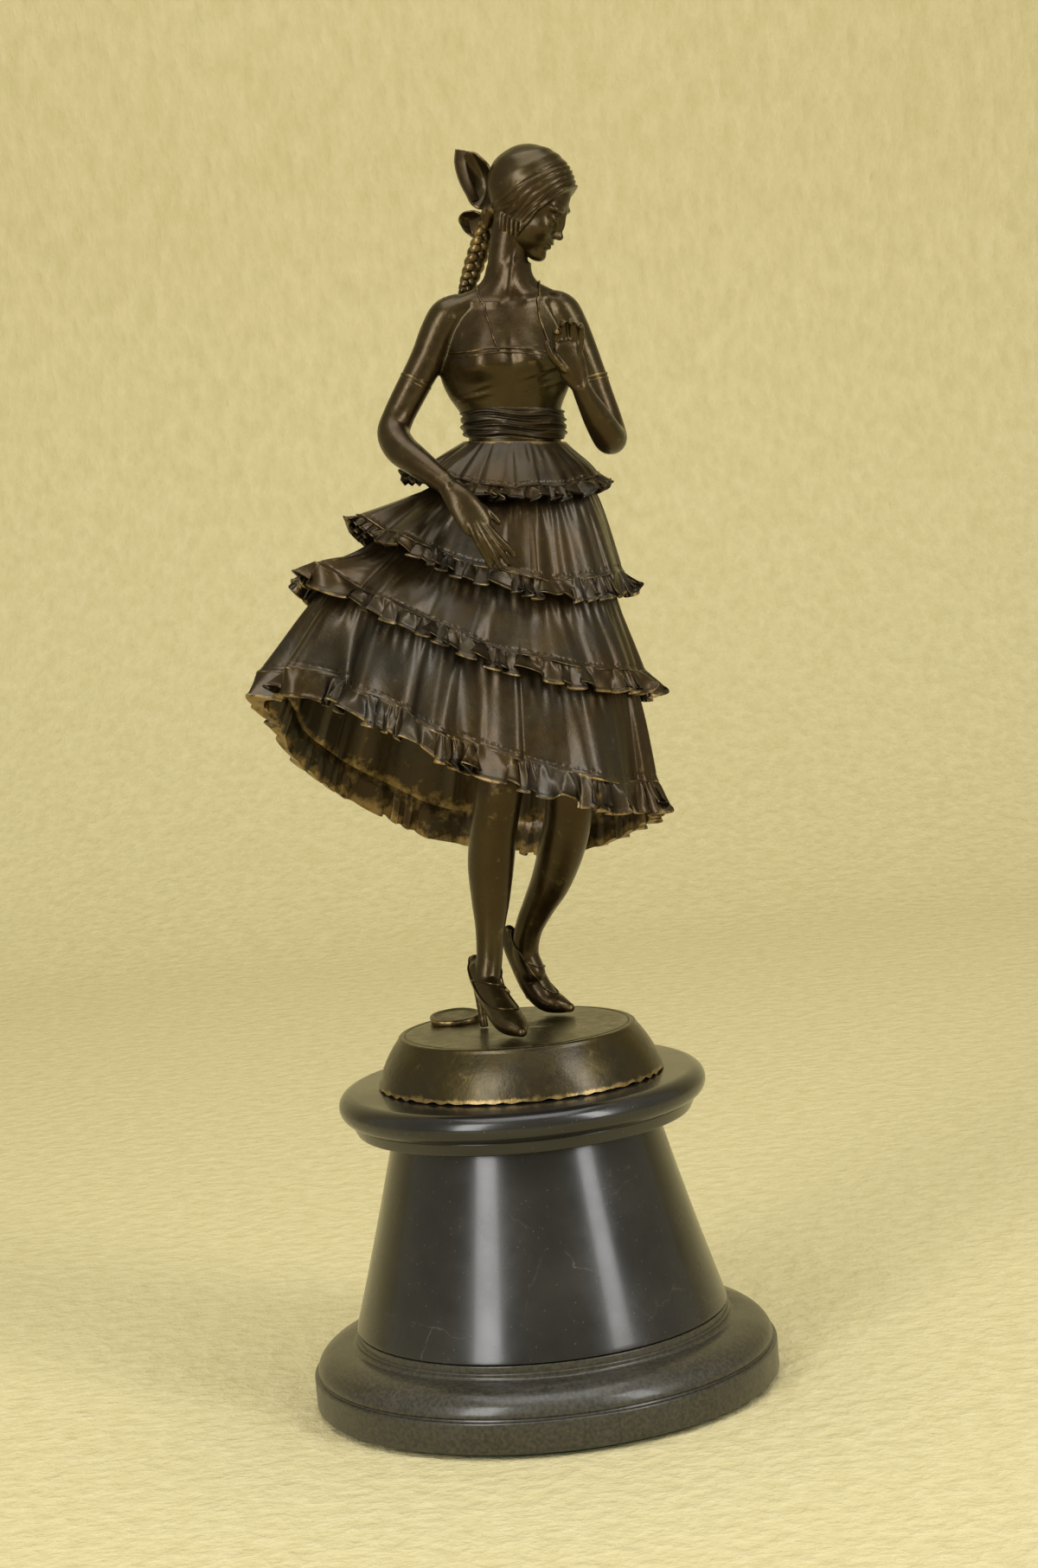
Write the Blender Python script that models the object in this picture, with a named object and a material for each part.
"""Dancer figurine: a bronze figure in a tiered dress on a turned black marble base.

The bronze is a lost-wax casting, made in sections that are brazed together and chased.
The base is three turned marble rings on one tie rod, with a felt pad underneath.
Sizes below are millimetres. The origin is the centre of the base's underside, +Z is up,
and the figure's chest faces -Y.
"""

import math

import bmesh
import bpy
from mathutils import Vector

MM = 0.001
GAP = 0.3  # clearance between neighbouring pieces

# Turned marble base
FOOT_R = 70.0
FOOT_BAND_H = 9.0
FOOT_H = 21.7
FOOT_FILLET_H = 3.2  # the plain step that the drum stands on
FOOT_STEP = 0.9  # how far the ovolo stands back from the band's edge
FELT_T = 1.2
FELT_INSET = 4.0
DRUM_H = 59.4
DRUM_R_BOTTOM = 56.0
DRUM_R_TOP = 39.5
COLLAR_H = 12.4
COLLAR_R = 55.0
COLLAR_BEAD_R = 4.1
COLLAR_LEDGE = 3.5  # how far the cove under the bead stands back from the bead
TURN_SIDES = 40

# Tie rod, nut and washer
ROD_R = 3.0
ROD_CLEARANCE = 0.5
NUT_FLATS = 10.0
NUT_H = 5.0
WASHER_R = 11.0
WASHER_T = 1.5
RECESS_R = 14.0
RECESS_H = 9.0
ROD_STICKOUT = 1.0  # rod below the nut's face

# Oval bronze plinth
PLINTH_A = 43.1
PLINTH_B = 39.7
PLINTH_H = 14.6
PLINTH_TAPER = 7.8
PLINTH_WALL = 3.0
PLINTH_LIP = 1.2  # the bevel round the plinth's top edge
PLINTH_TURN = -21.0  # degrees that the oval is turned about +Z
BOSS_R = 7.0
MEDALLION_R = 7.8
MEDALLION_T = 2.2
MEDALLION_AT = (-18.2, 18.0)
MEDALLION_TILT = 4.0

# Levels that follow from the sizes above
FOOT_BOTTOM = FELT_T + GAP
FOOT_TOP = FOOT_BOTTOM + FOOT_H
DRUM_BOTTOM = FOOT_TOP + GAP
DRUM_TOP = DRUM_BOTTOM + DRUM_H
COLLAR_BOTTOM = DRUM_TOP + GAP
COLLAR_TOP = COLLAR_BOTTOM + COLLAR_H
PLINTH_BOTTOM = COLLAR_TOP + GAP
PLINTH_TOP = PLINTH_BOTTOM + PLINTH_H

# The figure is drawn above the plinth's top, so its heights are measured from there
FIGURE_Z = PLINTH_TOP + GAP

# Dress: the surface that the frills' lower edges lie on, at five levels from waist to hem.
# Each level gives its right, back, left and front points as (x, y, height above the plinth).
WAIST_X = 15.1
WAIST_HALF_WIDTH = 13.2
WAIST_HALF_DEPTH = 9.8
DRESS_EASE = 2.5  # how far the waistline's surface stands out from the waist
DRESS_LEVELS = (
    (
        (WAIST_X + WAIST_HALF_WIDTH + DRESS_EASE, 0, 172.2),
        (WAIST_X, WAIST_HALF_DEPTH + DRESS_EASE, 173.8),
        (WAIST_X - WAIST_HALF_WIDTH - DRESS_EASE, 0, 175.2),
        (WAIST_X, -WAIST_HALF_DEPTH - DRESS_EASE, 173.8),
    ),
    ((40.8, 0, 157.6), (13.0, 24, 154.2), (-18.4, 0, 165.7), (14.3, -24, 156.7)),
    ((45.0, 0, 126.1), (6.0, 31, 124.2), (-35.6, -3, 152.0), (11.5, -31, 130.5)),
    ((48.8, 0, 95.1), (-2.0, 36, 93.2), (-52.0, -4, 137.3), (9.3, -36, 108.2)),
    ((46.6, 0, 58.5), (-9.9, 39, 52.3), (-63.0, -4, 107.3), (6.3, -39, 75.5)),
)
CLOTH_T = 1.4
PANEL_END = 0.80  # where a panel stops, as a share of the way down its tier
PANEL_LAP = 0.06  # how far the next panel starts above that
HEM_DEPTH = 0.8  # a panel's hem lies this far inside its frill's lower edge
PLEATS = (7, 10, 9, 11)
PLEAT_OUT = (0.8, 1.0, 1.2, 1.4)
RUFFLES = (9, 11, 13, 14)
RUFFLE_OUT = 1.6
FRILL_T = 1.1
DRESS_SIDES = 56
PANEL_RINGS = 3
FRILL_RINGS = 2

# Sash round the waist
SASH_H = 8.8
SASH_T = 1.9
SASH_CREASE = 0.25

# Torso sections from the hips to the neck: (x, y, height, half width, half depth)
PELVIS_BOTTOM = 148.5
TORSO = (
    (14.9, 0.0, PELVIS_BOTTOM, 12.5, 10.5),
    (14.9, 0.0, 159.0, 13.8, 10.8),
    (15.0, 0.0, 167.0, 13.0, 9.8),
    (WAIST_X, 0.0, 174.0, WAIST_HALF_WIDTH, WAIST_HALF_DEPTH),
    (WAIST_X, 0.0, 180.0, WAIST_HALF_WIDTH, WAIST_HALF_DEPTH),
    (WAIST_X, 0.0, 185.0, WAIST_HALF_WIDTH, WAIST_HALF_DEPTH),
    (14.7, -0.5, 192.5, 17.6, 11.8),
    (14.9, -0.9, 199.0, 18.0, 12.6),
    (15.8, -0.6, 206.0, 18.2, 11.2),
    (16.8, 0.0, 210.5, 18.6, 9.4),
    (17.2, 0.6, 214.0, 16.0, 7.8),
    (17.5, 0.8, 216.6, 10.0, 6.4),
    (17.8, 0.6, 219.0, 6.0, 5.6),
    (18.2, 0.2, 221.5, 5.5, 5.3),
)
TORSO_WALL_SCALE = 0.72  # the core hollow inside the torso, as a share of its outline
TORSO_CORE_TOP = 200.0
NECK_JOIN = 221.5

# Arms: sections from the shoulder to the armband, then on to the wrist
# (x, y, height, half width, half depth)
UPPER_ARM_RIGHT = ((1.2, 0.0, 208.6, 5.6, 5.8), (-4.2, -0.2, 205.8, 5.4, 5.5), (-13.2, -2.6, 191.2, 4.6, 4.8))
FOREARM_RIGHT = (
    (-13.2, -2.6, 191.2, 4.6, 4.8),
    (-18.2, -4.3, 183.2, 4.6, 4.7),
    (-20.0, -7.2, 178.4, 4.9, 5.0),
    (-17.8, -13.8, 173.2, 4.7, 4.8),
    (-12.2, -21.0, 168.2, 4.0, 4.2),
    (-5.6, -27.6, 162.4, 2.9, 3.3),
    (-1.6, -31.4, 156.6, 3.2, 3.6),
    (1.4, -32.6, 150.4, 2.4, 4.0),
)
FINGERS_RIGHT = (
    ((-0.8, -32.6, 153.4), (2.2, -33.6, 145.6), (4.2, -34.0, 140.0)),
    ((0.8, -32.8, 152.4), (4.4, -33.8, 145.0), (6.8, -34.2, 140.2)),
    ((2.4, -32.8, 151.6), (6.6, -33.6, 145.0), (9.2, -34.0, 141.2)),
    ((3.4, -32.4, 151.6), (8.2, -33.2, 146.2), (11.0, -33.6, 143.2)),
    ((0.0, -30.8, 156.6), (5.4, -30.6, 153.0), (8.4, -31.0, 150.2)),
)
UPPER_ARM_LEFT = ((31.0, 0.0, 207.0, 5.6, 5.8), (34.4, -0.4, 203.4, 5.4, 5.5), (39.6, -2.6, 187.0, 4.5, 4.7))
FOREARM_LEFT = (
    (39.6, -2.6, 187.0, 4.5, 4.7),
    (42.0, -4.6, 177.6, 4.5, 4.6),
    (42.8, -7.6, 171.4, 4.9, 4.7),
    (41.6, -13.0, 172.2, 4.7, 4.6),
    (38.2, -19.0, 178.6, 3.9, 4.0),
    (34.8, -23.4, 186.4, 2.8, 3.1),
    (32.8, -25.4, 191.8, 4.0, 2.8),
    (31.4, -26.6, 197.4, 4.3, 2.2),
)
FINGERS_LEFT = (
    ((34.4, -26.4, 196.0), (35.4, -27.8, 202.2), (35.2, -30.4, 205.4)),
    ((32.6, -26.8, 197.0), (33.0, -27.8, 203.4), (32.8, -30.6, 206.2)),
    ((30.6, -26.8, 197.0), (30.6, -27.6, 203.4), (30.6, -30.2, 206.0)),
    ((28.8, -26.6, 195.6), (28.4, -27.2, 201.4), (28.6, -29.4, 204.2)),
    ((30.6, -27.2, 191.0), (27.0, -29.6, 196.6), (26.0, -30.4, 200.0)),
)
FINGER_R = 1.25
FINGER_TIP = 0.75  # a fingertip's radius as a share of the finger's
ARM_SIDE = (1, 0.2, 0)
UP, DOWN = (0, 0, 1), (0, 0, -1)

# Legs: sections from the hip down to the ankle (x, y, height, half width, half depth)
HIP_TOP = PELVIS_BOTTOM - GAP
LEG_RIGHT = (
    (7.9, 0.0, HIP_TOP, 6.4, 9.0),
    (6.4, 0.0, 115.0, 7.8, 9.4),
    (4.2, -2.5, 88.0, 8.0, 8.8),
    (2.2, -4.0, 72.0, 7.9, 8.2),
    (-0.6, -1.0, 60.0, 7.6, 7.8),
    (-2.3, 2.4, 49.0, 7.7, 8.0),
    (-3.9, 3.0, 35.6, 6.0, 6.2),
    (-5.4, 2.2, 24.6, 4.3, 4.6),
    (-6.6, 1.8, 16.4, 4.0, 4.6),
)
SHOE_RIGHT = (
    (-10.6, 8.2, 18.2, 1.4, 2.0),
    (-9.2, 6.0, 17.0, 3.4, 4.0),
    (-6.8, 0.6, 13.6, 4.1, 4.9),
    (-4.0, -6.0, 8.8, 4.3, 4.7),
    (-0.9, -12.6, 4.4, 4.6, 4.1),
    (1.6, -17.0, 2.6, 3.6, 2.5),
    (3.2, -19.8, 1.8, 1.2, 1.2),
)
HEEL_RIGHT = ((-9.4, 6.4, 16.0, 2.8, 3.0), (-9.6, 6.6, 8.0, 1.9, 2.0), (-9.2, 5.6, 0.0, 1.6, 1.7))
LEG_LEFT = (
    (22.3, 0.0, HIP_TOP, 6.4, 9.0),
    (23.0, -0.5, 115.0, 7.8, 9.2),
    (22.6, -1.5, 85.0, 8.2, 8.6),
    (20.8, 0.0, 66.0, 8.4, 8.4),
    (18.0, 5.0, 53.0, 8.2, 8.2),
    (14.0, 9.4, 42.0, 6.9, 7.2),
    (8.7, 14.0, 32.0, 5.4, 5.8),
    (4.8, 16.8, 22.6, 4.5, 4.7),
    (4.2, 18.6, 16.4, 4.1, 4.2),
)
SHOE_LEFT = (
    (-2.2, 22.4, 22.6, 1.2, 1.8),
    (-0.8, 21.4, 20.4, 3.0, 4.0),
    (3.0, 20.0, 15.0, 3.9, 4.6),
    (5.8, 19.2, 9.4, 4.1, 4.4),
    (9.2, 18.0, 4.3, 4.4, 4.0),
    (13.4, 16.2, 2.6, 3.4, 2.5),
    (16.4, 14.9, 1.8, 1.2, 1.2),
)
HEEL_LEFT = ((-0.8, 21.6, 20.0, 2.6, 2.8), (-2.2, 23.6, 12.6, 1.8, 1.9), (-2.6, 24.4, 9.4, 1.6, 1.7))

# Head: neck and skull sections (x, y, height, half length towards the face, half width)
HEAD_TURN = -17.0  # degrees that the face is turned from +X towards the front
NECK = ((18.2, 0.2, NECK_JOIN + GAP, 5.5, 5.3), (19.4, 0.3, 228.0, 5.3, 5.2), (21.4, 0.2, 235.0, 5.4, 5.2))
SKULL = (
    (27.6, -1.4, 227.4, 3.0, 3.2),
    (27.0, -1.2, 230.4, 6.2, 6.0),
    (26.0, -0.6, 235.5, 9.6, 8.8),
    (25.4, -0.2, 241.0, 11.4, 10.4),
    (25.4, 0.0, 247.0, 12.6, 11.2),
    (25.6, 0.0, 252.6, 12.0, 10.6),
    (25.9, 0.0, 256.4, 8.8, 7.8),
    (26.2, 0.0, 258.2, 3.6, 3.2),
)
BOW_LARGE = (
    (12.4, 4.6, 242.2, 1.6, 1.4),
    (9.8, 6.4, 246.0, 3.8, 3.0),
    (8.6, 7.4, 251.0, 4.4, 3.4),
    (6.8, 8.0, 257.6, 2.0, 2.0),
)
BOW_SMALL = ((15.4, 4.4, 236.8, 1.6, 1.6), (9.6, 7.0, 236.2, 3.0, 2.6), (5.6, 8.8, 235.0, 1.6, 1.8))
BRAID = ((9.6, 7.4, 232.2), (8.6, 8.6, 226.0), (6.8, 9.0, 221.0), (5.2, 8.3, 215.6))
BRAID_R = 2.6
BRAID_TWISTS = 5


def material(name, colour, roughness, metallic):
    """A Principled material in one colour."""
    made = bpy.data.materials.new(name)
    made.use_nodes = True
    shader = made.node_tree.nodes["Principled BSDF"]
    shader.inputs["Base Color"].default_value = (*colour, 1.0)
    shader.inputs["Roughness"].default_value = roughness
    shader.inputs["Metallic"].default_value = metallic
    made.diffuse_color = (*colour, 1.0)
    return made


def new_object(name, mesh, finish):
    """Links a mesh to the scene as one named piece."""
    made = bpy.data.objects.new(name, mesh)
    bpy.context.scene.collection.objects.link(made)
    mesh.materials.append(finish)
    mesh.shade_smooth()
    mesh.set_sharp_from_angle(angle=math.radians(40))
    return made


def skin(name, rings, finish, loop=False):
    """Joins closed rings of points with quads. The ends are capped, or met when loop is true."""
    bm = bmesh.new()
    rows = [[bm.verts.new(Vector(p) * MM) for p in ring] for ring in rings]
    pairs = list(zip(rows, rows[1:]))
    if loop:
        pairs.append((rows[-1], rows[0]))
    for low, high in pairs:
        count = len(low)
        for i in range(count):
            j = (i + 1) % count
            bm.faces.new((low[i], low[j], high[j], high[i]))
    if not loop:
        bm.faces.new(rows[0][::-1])
        bm.faces.new(rows[-1])
    bmesh.ops.recalc_face_normals(bm, faces=bm.faces)
    mesh = bpy.data.meshes.new(name)
    bm.to_mesh(mesh)
    bm.free()
    return new_object(name, mesh, finish)


def turned(name, profile, finish, sides=TURN_SIDES):
    """Spins a closed outline of (radius, height) points round the Z axis."""
    rings = []
    for i in range(sides):
        a = 2 * math.pi * i / sides
        rings.append([(r * math.cos(a), r * math.sin(a), z) for r, z in profile])
    return skin(name, rings, finish, loop=True)


def arc(centre, radii, start, end, steps):
    """Points of an elliptical arc in the (radius, height) plane, angles in degrees."""
    points = []
    for i in range(steps + 1):
        a = math.radians(start + (end - start) * i / steps)
        points.append((centre[0] + radii[0] * math.cos(a), centre[1] + radii[1] * math.sin(a)))
    return points


def smooth(stations, steps):
    """Catmull-Rom points through the stations, steps to each span."""
    rows = [Vector(s) for s in stations]
    points = []
    for i in range(len(rows) - 1):
        before = rows[max(i - 1, 0)]
        a, b = rows[i], rows[i + 1]
        after = rows[min(i + 2, len(rows) - 1)]
        for k in range(steps):
            t = k / steps
            points.append(
                0.5 * (2 * a + (b - before) * t + (2 * before - 5 * a + 4 * b - after) * t * t
                       + (3 * a - before - 3 * b + after) * t ** 3)
            )
    points.append(rows[-1])
    return points


def oval_ring(centre, along, side_hint, half_width, half_depth, sides):
    """An ellipse square to along, its half_width measured as near to side_hint as that allows."""
    along = along.normalized()
    width = (side_hint - along * side_hint.dot(along)).normalized()
    depth = along.cross(width)
    ring = []
    for i in range(sides):
        a = 2 * math.pi * i / sides
        ring.append(centre + width * (half_width * math.cos(a)) + depth * (half_depth * math.sin(a)))
    return ring


def limb(name, stations, finish, sides=14, steps=2, side_hint=(1, 0, 0), first_along=None, last_along=None):
    """A tapered limb of oval sections. first_along and last_along turn the two end cuts."""
    lifted = [(x, y, z + FIGURE_Z, a, b) for x, y, z, a, b in stations]
    rows = smooth_rows(lifted, steps)
    centres = [Vector(r[:3]) for r in rows]
    rings = []
    for i, row in enumerate(rows):
        along = centres[min(i + 1, len(rows) - 1)] - centres[max(i - 1, 0)]
        if i == 0 and first_along:
            along = Vector(first_along)
        if i == len(rows) - 1 and last_along:
            along = Vector(last_along)
        rings.append(oval_ring(centres[i], along, Vector(side_hint), row[3], row[4], sides))
    return skin(name, rings, finish)


def smooth_rows(stations, steps):
    """smooth() for rows of five numbers: a centre, then two half sizes."""
    centres = smooth([s[:3] for s in stations], steps)
    sizes = smooth([(s[3], s[4], 0.0) for s in stations], steps)
    return [(*c, size[0], size[1]) for c, size in zip(centres, sizes)]


def boolean(target, other, operation):
    """Joins or cuts target with other, which stays in the file as a hidden helper."""
    modifier = target.modifiers.new(other.name, "BOOLEAN")
    modifier.operation = operation
    modifier.object = other
    other.hide_render = True
    other.display_type = "WIRE"


def join_limbs(target, pieces):
    """Unites several closed limbs with target."""
    for piece in pieces:
        boolean(target, piece, "UNION")


# ---------------------------------------------------------------- base


def build_base(marble, felt, steel):
    """The felt pad, three marble rings, and the tie rod that clamps them to the plinth."""
    bore = ROD_R + ROD_CLEARANCE
    turned_disc("felt_pad", FOOT_R - FELT_INSET, 0.0, FELT_T, felt)

    recess_top = FOOT_BOTTOM + RECESS_H
    band_top = FOOT_BOTTOM + FOOT_BAND_H
    ovolo_r = FOOT_R - FOOT_STEP
    ovolo_in = DRUM_R_BOTTOM + 2 * FOOT_STEP
    ovolo_top = FOOT_TOP - FOOT_FILLET_H - FOOT_STEP
    foot = [(bore, FOOT_TOP), (bore, recess_top), (RECESS_R, recess_top), (RECESS_R, FOOT_BOTTOM)]
    foot += [(FOOT_R, FOOT_BOTTOM), (FOOT_R, band_top)]
    foot += arc((ovolo_in, band_top + FOOT_STEP), (ovolo_r - ovolo_in, ovolo_top - band_top - FOOT_STEP), 0, 90, 6)
    foot += [(DRUM_R_BOTTOM, FOOT_TOP - FOOT_FILLET_H), (DRUM_R_BOTTOM, FOOT_TOP)]
    turned("marble_foot", foot, marble)

    drum = [(bore, DRUM_TOP), (bore, DRUM_BOTTOM), (DRUM_R_BOTTOM, DRUM_BOTTOM), (DRUM_R_TOP, DRUM_TOP)]
    turned("marble_drum", drum, marble)

    bead_z = COLLAR_TOP - COLLAR_BEAD_R
    cove_r = COLLAR_R - COLLAR_LEDGE
    bead = arc((COLLAR_R - COLLAR_BEAD_R, bead_z), (COLLAR_BEAD_R, COLLAR_BEAD_R), -85, 90, 8)
    collar = [(bore, COLLAR_TOP), (bore, COLLAR_BOTTOM), (cove_r - 1.2, COLLAR_BOTTOM)]
    collar += [(cove_r, COLLAR_BOTTOM + 1.4), (cove_r, bead[0][1] - 0.5)]
    turned("marble_collar", collar + bead, marble)

    washer_top = recess_top - GAP
    washer_bottom = washer_top - WASHER_T
    nut_bottom = washer_bottom - GAP - NUT_H
    washer = [(bore, washer_bottom), (WASHER_R, washer_bottom), (WASHER_R, washer_top), (bore, washer_top)]
    turned("tie_washer", washer, steel, sides=32)
    turned_disc("tie_rod", ROD_R, nut_bottom - ROD_STICKOUT, rod_top(), steel, sides=20)
    build_nut(nut_bottom, steel)


def rod_top():
    """The rod ends a little short of the plinth's roof."""
    return PLINTH_TOP - PLINTH_WALL - 2 * GAP


def turned_disc(name, radius, bottom, top, finish, sides=TURN_SIDES):
    rings = []
    for z in (bottom, top):
        rings.append([(radius * math.cos(2 * math.pi * i / sides), radius * math.sin(2 * math.pi * i / sides), z)
                      for i in range(sides)])
    return skin(name, rings, finish)


def build_nut(bottom, steel):
    """A hexagon nut on the rod, as one closed ring with a round bore."""
    sides = 24
    corner = NUT_FLATS / 2 / math.cos(math.pi / 6)
    rings = []
    for i in range(sides):
        a = 2 * math.pi * i / sides
        to_flat = (a + math.pi / 6) % (math.pi / 3) - math.pi / 6
        reach = corner * math.cos(math.pi / 6) / math.cos(to_flat)
        bore = ROD_R + GAP
        ring = [(bore, bottom), (reach, bottom), (reach, bottom + NUT_H), (bore, bottom + NUT_H)]
        rings.append([(r * math.cos(a), r * math.sin(a), z) for r, z in ring])
    skin("tie_nut", rings, steel, loop=True)


# ---------------------------------------------------------------- plinth


def oval(a, b, z, sides=TURN_SIDES):
    turn = math.radians(PLINTH_TURN)
    ring = []
    for i in range(sides):
        t = 2 * math.pi * i / sides
        x, y = a * math.cos(t), b * math.sin(t)
        ring.append((x * math.cos(turn) - y * math.sin(turn), x * math.sin(turn) + y * math.cos(turn), z))
    return ring


def build_plinth(bronze):
    """A hollow oval casting, open below, with a blind boss that the tie rod screws into."""
    low, high = PLINTH_BOTTOM, PLINTH_TOP
    roof = high - PLINTH_WALL
    top_a, top_b = PLINTH_A - PLINTH_TAPER, PLINTH_B - PLINTH_TAPER
    hole = ROD_R + GAP
    rings = [
        oval(hole, hole, rod_top() + GAP),
        oval(hole, hole, low),
        oval(BOSS_R, BOSS_R, low),
        oval(BOSS_R, BOSS_R, roof),
        oval(top_a - PLINTH_WALL, top_b - PLINTH_WALL, roof),
        oval(PLINTH_A - PLINTH_WALL, PLINTH_B - PLINTH_WALL, low),
        oval(PLINTH_A, PLINTH_B, low),
        oval(top_a + PLINTH_LIP, top_b + PLINTH_LIP, high - PLINTH_LIP),
        oval(top_a, top_b, high),
    ]
    skin("plinth", rings, bronze)


def build_medallion(bronze):
    """The plain disc that stands proud of the plinth's top."""
    tilt = math.tan(math.radians(MEDALLION_TILT))
    rings = []
    for radius, up in ((MEDALLION_R, 0.0), (MEDALLION_R, MEDALLION_T), (MEDALLION_R - 0.9, MEDALLION_T + 0.4)):
        ring = []
        for i in range(32):
            a = 2 * math.pi * i / 32
            x, y = radius * math.cos(a), radius * math.sin(a)
            lean = tilt * (y + MEDALLION_R) if up else 0.0
            ring.append((MEDALLION_AT[0] + x, MEDALLION_AT[1] + y, PLINTH_TOP + GAP + up + lean))
        rings.append(ring)
    skin("medallion", rings, bronze)


# ---------------------------------------------------------------- dress


def level_point(level, angle):
    """A point of one dress level: the smoothest closed curve through its four points."""
    right, back, left, front = (Vector(p) for p in DRESS_LEVELS[level])
    mean = (right + back + left + front) / 4
    return (mean + (right - left) / 2 * math.cos(angle) + (back - front) / 2 * math.sin(angle)
            + (right + left - back - front) / 4 * math.cos(2 * angle))


def dress_point(down, angle):
    """The dress surface. down runs from 0 at the waist to 4 at the lowest frill's edge."""
    last = len(DRESS_LEVELS) - 1
    i = min(int(down), last - 1)
    t = down - i
    before, a = level_point(max(i - 1, 0), angle), level_point(i, angle)
    b, after = level_point(i + 1, angle), level_point(min(i + 2, last), angle)
    if i == 0:
        before = 2 * a - b
    if i == last - 1:
        after = 2 * b - a
    point = 0.5 * (2 * a + (b - before) * t + (2 * before - 5 * a + 4 * b - after) * t * t
                   + (3 * a - before - 3 * b + after) * t ** 3)
    return point + Vector((0, 0, FIGURE_Z))


def dress_normal(down, angle):
    step = 0.01
    around = dress_point(down, angle + step) - dress_point(down, angle - step)
    low, high = max(down - step, 0.0), min(down + step, len(DRESS_LEVELS) - 1.0)
    fall = dress_point(high, angle) - dress_point(low, angle)
    return fall.cross(around).normalized()


def cloth_shell(name, bronze, start, end, outer, thickness, rings_count):
    """A closed shell on the dress surface. outer(share, angle) is its outer face's distance from it."""
    outside, inside = [], []
    for k in range(rings_count + 1):
        share = k / rings_count
        down = start + (end - start) * share
        out_ring, in_ring = [], []
        for i in range(DRESS_SIDES):
            angle = 2 * math.pi * i / DRESS_SIDES
            point, normal = dress_point(down, angle), dress_normal(down, angle)
            reach = outer(share, angle)
            out_ring.append(point + normal * reach)
            in_ring.append(point + normal * (reach - thickness))
        outside.append(out_ring)
        inside.append(in_ring)
    return skin(name, outside + inside[::-1], bronze, loop=True)


def panel_span(tier):
    """Where a tier's panel starts and stops on the dress surface."""
    start = 0.02 if tier == 0 else tier - (1 - PANEL_END) - PANEL_LAP
    return start, tier + PANEL_END


def build_dress(bronze):
    panel_top = -(HEM_DEPTH + CLOTH_T + GAP + 0.1)
    panels = ("peplum", "upper_flounce", "middle_flounce", "lower_flounce")
    frills = ("peplum_frill", "upper_frill", "middle_frill", "lower_frill")
    for tier, (panel, frill) in enumerate(zip(panels, frills)):
        start, end = panel_span(tier)
        top = -HEM_DEPTH if tier == 0 else panel_top

        def panel_reach(share, angle):
            wave = 0.5 + 0.5 * math.sin(PLEATS[tier] * angle + 1.3 * tier)
            return top + (-HEM_DEPTH - top) * share + PLEAT_OUT[tier] * wave * share

        def frill_reach(share, angle):
            pleat = 0.5 + 0.5 * math.sin(PLEATS[tier] * angle + 1.3 * tier)
            wave = 0.5 + 0.5 * math.sin(RUFFLES[tier] * angle + 0.7 * tier)
            return -HEM_DEPTH * (1 - share) + PLEAT_OUT[tier] * pleat * (1 - share) + RUFFLE_OUT * wave * share

        cloth_shell(panel, bronze, start, end, panel_reach, CLOTH_T, PANEL_RINGS)
        seam = end + 0.012
        cloth_shell(frill, bronze, seam, tier + 1.0, frill_reach, FRILL_T, FRILL_RINGS)


def build_sash(bronze):
    """A band round the waist, a clearance outside the torso, standing on the peplum's edge."""
    sides, rows = 32, 4
    inner_a, inner_b = WAIST_HALF_WIDTH + 2 * GAP, WAIST_HALF_DEPTH + 2 * GAP
    centre_x, centre_y = WAIST_X, 0.0
    outside, inside = [], []
    for k in range(rows + 1):
        share = k / rows
        crease = SASH_CREASE * math.cos(math.pi * k)
        out_ring, in_ring = [], []
        for i in range(sides):
            a = 2 * math.pi * i / sides
            z = level_point(0, a).z + FIGURE_Z + 2 * GAP + SASH_H * share
            reach = SASH_T + crease
            x, y = math.cos(a), math.sin(a)
            out_ring.append((centre_x + (inner_a + reach) * x, centre_y + (inner_b + reach) * y, z))
            in_ring.append((centre_x + inner_a * x, centre_y + inner_b * y, z))
        outside.append(out_ring)
        inside.append(in_ring)
    skin("sash", outside + inside[::-1], bronze, loop=True)


# ---------------------------------------------------------------- figure


def arm_cut(upper, lower):
    """The direction square to the seam where the two arm castings meet."""
    return Vector(lower[1][:3]) - Vector(upper[-2][:3])


def build_torso(bronze):
    """Torso, hips and upper arms in one casting, hollow from the hips up to the ribs."""
    torso = limb("torso", TORSO, bronze, sides=20, first_along=UP, last_along=UP)
    cut_right, cut_left = arm_cut(UPPER_ARM_RIGHT, FOREARM_RIGHT), arm_cut(UPPER_ARM_LEFT, FOREARM_LEFT)
    join_limbs(torso, [
        limb("shoulder_right", UPPER_ARM_RIGHT, bronze, side_hint=ARM_SIDE, last_along=cut_right),
        limb("shoulder_left", UPPER_ARM_LEFT, bronze, side_hint=ARM_SIDE, last_along=cut_left),
    ])
    core = [(x, y, z, a * TORSO_WALL_SCALE, b * TORSO_WALL_SCALE)
            for x, y, z, a, b in TORSO if z <= TORSO_CORE_TOP]
    x, y, z, a, b = core[0]
    core[0] = (x, y, z - GAP, a, b)
    hollow = limb("torso_core", core, bronze, steps=1, first_along=UP, last_along=UP)
    boolean(torso, hollow, "DIFFERENCE")


def build_forearm(name, upper, stations, fingers, bronze):
    """Elbow, forearm and hand in one casting, meeting the upper arm at the armband."""
    cut = arm_cut(upper, stations)
    start = Vector(stations[0][:3]) + cut.normalized() * GAP
    moved = ((*start, *stations[0][3:]), *stations[1:])
    arm = limb(name, moved, bronze, side_hint=ARM_SIDE, first_along=cut)
    tips = []
    for i, joints in enumerate(fingers):
        sizes = (FINGER_R, FINGER_R, FINGER_R * FINGER_TIP)
        rows = [(*joint, size, size) for joint, size in zip(joints, sizes)]
        tips.append(limb(f"{name}_finger_{i}", rows, bronze, sides=8, steps=1))
    join_limbs(arm, tips)


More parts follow.
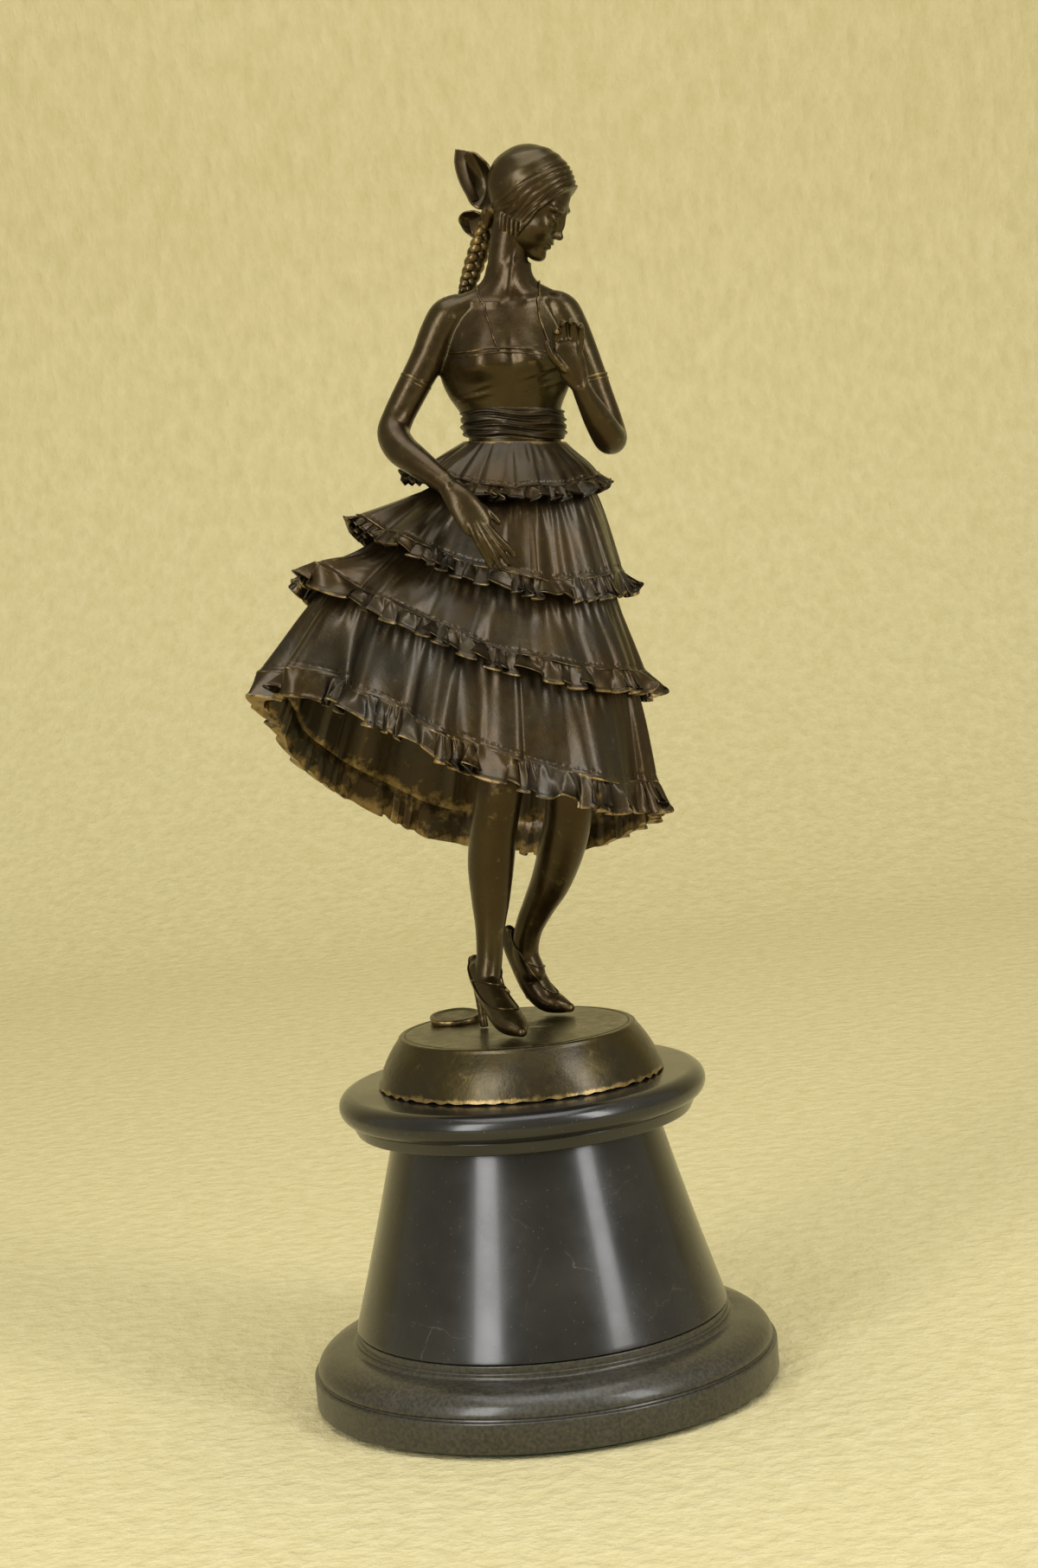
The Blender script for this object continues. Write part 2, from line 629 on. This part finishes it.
def build_leg(name, leg, shoe, heel, bronze):
    """Thigh, calf and shoe in one casting, meeting the hips inside the skirt."""
    made = limb(name, leg, bronze, first_along=DOWN)
    foot = limb(f"{name}_shoe", shoe, bronze, sides=12)
    post = limb(f"{name}_heel", heel, bronze, sides=10, steps=1, last_along=DOWN)
    join_limbs(made, [foot, post])


def build_head(bronze):
    turn = math.radians(HEAD_TURN)
    face_way = (math.cos(turn), math.sin(turn), 0)
    head = limb("head", SKULL, bronze, sides=20, steps=2, side_hint=face_way)
    join_limbs(head, [limb("neck", NECK, bronze, sides=16, first_along=UP)])


def build_braid(bronze):
    """Three strands read as a row of bulges along the plait."""
    path = smooth([(x, y, z + FIGURE_Z) for x, y, z in BRAID], 6)
    rings = []
    for i, centre in enumerate(path):
        share = i / (len(path) - 1)
        along = path[min(i + 1, len(path) - 1)] - path[max(i - 1, 0)]
        bulge = 1 + 0.14 * math.cos(2 * math.pi * BRAID_TWISTS * share)
        radius = BRAID_R * bulge * (1 - 0.35 * share ** 2)
        rings.append(oval_ring(centre, along, Vector((1, 0, 0)), radius, radius * 0.85, 12))
    skin("braid", rings, bronze)


def main():
    for left_over in list(bpy.data.objects):
        bpy.data.objects.remove(left_over)
    marble = material("black_marble", (0.018, 0.018, 0.019), 0.2, 0.0)
    bronze = material("brown_bronze", (0.085, 0.055, 0.026), 0.34, 0.9)
    steel = material("zinc_plated_steel", (0.5, 0.5, 0.48), 0.35, 1.0)
    felt = material("green_felt", (0.02, 0.07, 0.03), 0.95, 0.0)

    build_base(marble, felt, steel)
    build_plinth(bronze)
    build_medallion(bronze)
    build_dress(bronze)
    build_sash(bronze)
    build_torso(bronze)
    build_forearm("forearm_right", UPPER_ARM_RIGHT, FOREARM_RIGHT, FINGERS_RIGHT, bronze)
    build_forearm("forearm_left", UPPER_ARM_LEFT, FOREARM_LEFT, FINGERS_LEFT, bronze)
    build_leg("leg_right", LEG_RIGHT, SHOE_RIGHT, HEEL_RIGHT, bronze)
    build_leg("leg_left", LEG_LEFT, SHOE_LEFT, HEEL_LEFT, bronze)
    build_head(bronze)
    limb("hair_bow_large", BOW_LARGE, bronze, sides=12)
    limb("hair_bow_small", BOW_SMALL, bronze, sides=12)
    build_braid(bronze)


main()
